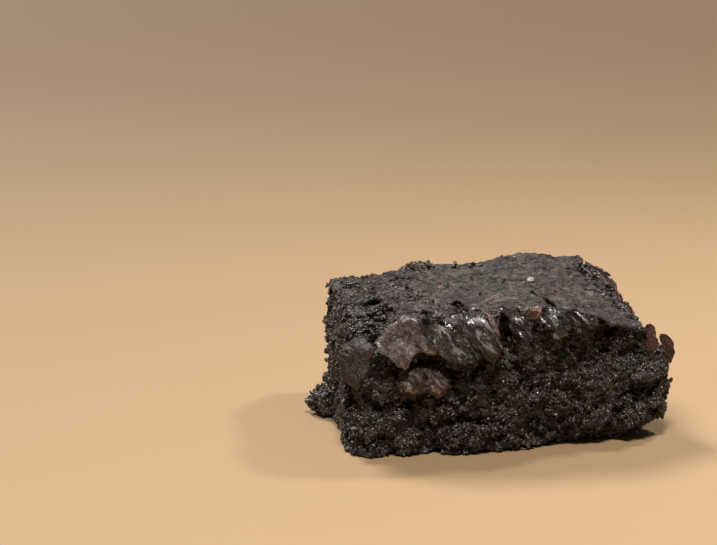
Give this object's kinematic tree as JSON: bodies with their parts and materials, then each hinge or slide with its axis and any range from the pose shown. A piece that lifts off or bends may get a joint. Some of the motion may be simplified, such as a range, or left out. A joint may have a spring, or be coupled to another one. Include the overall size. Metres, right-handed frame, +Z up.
{
  "type": "chocolate brownie",
  "caption": "Square slab of chocolate brownie with crumbly torn sides and a thin cracked papery crust that flakes down over the front.",
  "frame": {"origin": "on the resting face, under the middle of the brownie", "axes": "+X along the front face from left to right, which is the longest side, +Y from the front to the back, +Z up"},
  "size_m": [0.0728, 0.0588, 0.0326],
  "materials": {
    "crumb": "moist dark chocolate crumb, rough, with small soft glints",
    "crust": "thin papery baked crust, grey-brown, matte with a faint sheen at grazing angles",
    "flake": "glossy reddish-brown underside and folded flakes of the crust",
    "salt": "dull off-white grain of salt"
  },
  "bodies": {
    "root": {"brownie": "crumb"}
  },
  "joints": []
}
